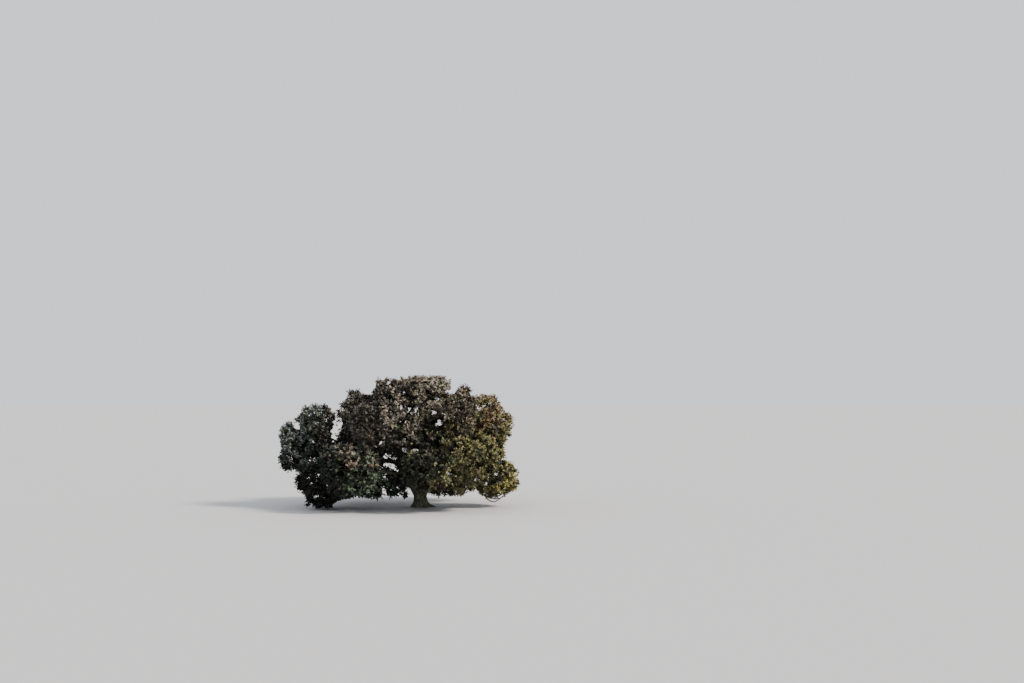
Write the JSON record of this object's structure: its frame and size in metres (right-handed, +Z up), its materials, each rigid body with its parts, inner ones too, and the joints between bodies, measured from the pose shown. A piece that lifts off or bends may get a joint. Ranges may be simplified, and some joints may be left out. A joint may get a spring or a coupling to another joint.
{
  "type": "evergreen oak tree",
  "caption": "Mature evergreen oak with a short fluted trunk that forks low, spreading boughs and a wide, low, dense crown of small dark leaves",
  "frame": {"origin": "middle of the flat cut under the trunk, at ground level", "axes": "+Z up the trunk, +X to the right and +Y away from the viewer as the picture shows the tree"},
  "size_m": [21.9909, 18.0373, 12.0328],
  "materials": {
    "bark": "rough furrowed bark",
    "foliage": "small leathery leaves"
  },
  "bodies": {
    "root": {"trunk": "bark", "bough_left_low": "bark", "bough_left_top": "bark", "bough_crown_top": "bark", "bough_right_shoulder": "bark", "bough_right_low": "bark", "bough_front_centre": "bark", "bough_front_left": "bark", "bough_back_top": "bark", "bough_back_low_left": "bark", "bough_inner_left_low": "bark", "bough_far_left": "bark", "bough_crown_left": "bark", "bough_left_middle": "bark", "bough_back_left": "bark", "bough_left_inner": "bark", "bough_crown_upper_left": "bark", "bough_crown_middle": "bark", "bough_front_top_left": "bark", "bough_back_top_left": "bark", "bough_crown_knob": "bark", "bough_right_top": "bark", "bough_right_core": "bark", "bough_right_middle": "bark", "bough_front_top_right": "bark", "bough_back_right": "bark", "bough_front_right": "bark", "bough_right_inner": "bark", "bough_front_low": "bark", "bough_back_low": "bark", "foliage_far_left": "foliage", "foliage_left_top": "foliage", "foliage_left_low": "foliage", "foliage_left_inner": "foliage", "foliage_left_middle": "foliage", "foliage_crown_left": "foliage", "foliage_crown_upper_left": "foliage", "foliage_crown_middle": "foliage", "foliage_crown_top": "foliage", "foliage_crown_knob": "foliage", "foliage_right_shoulder": "foliage", "foliage_right_top": "foliage", "foliage_right_core": "foliage", "foliage_right_middle": "foliage", "foliage_right_low": "foliage", "foliage_right_inner": "foliage", "foliage_inner_left_low": "foliage", "foliage_front_centre": "foliage", "foliage_front_low": "foliage", "foliage_front_left": "foliage", "foliage_front_right": "foliage", "foliage_front_top_left": "foliage", "foliage_front_top_right": "foliage", "foliage_back_left": "foliage", "foliage_back_top_left": "foliage", "foliage_back_top": "foliage", "foliage_back_right": "foliage", "foliage_back_low": "foliage", "foliage_back_low_left": "foliage"}
  },
  "joints": []
}
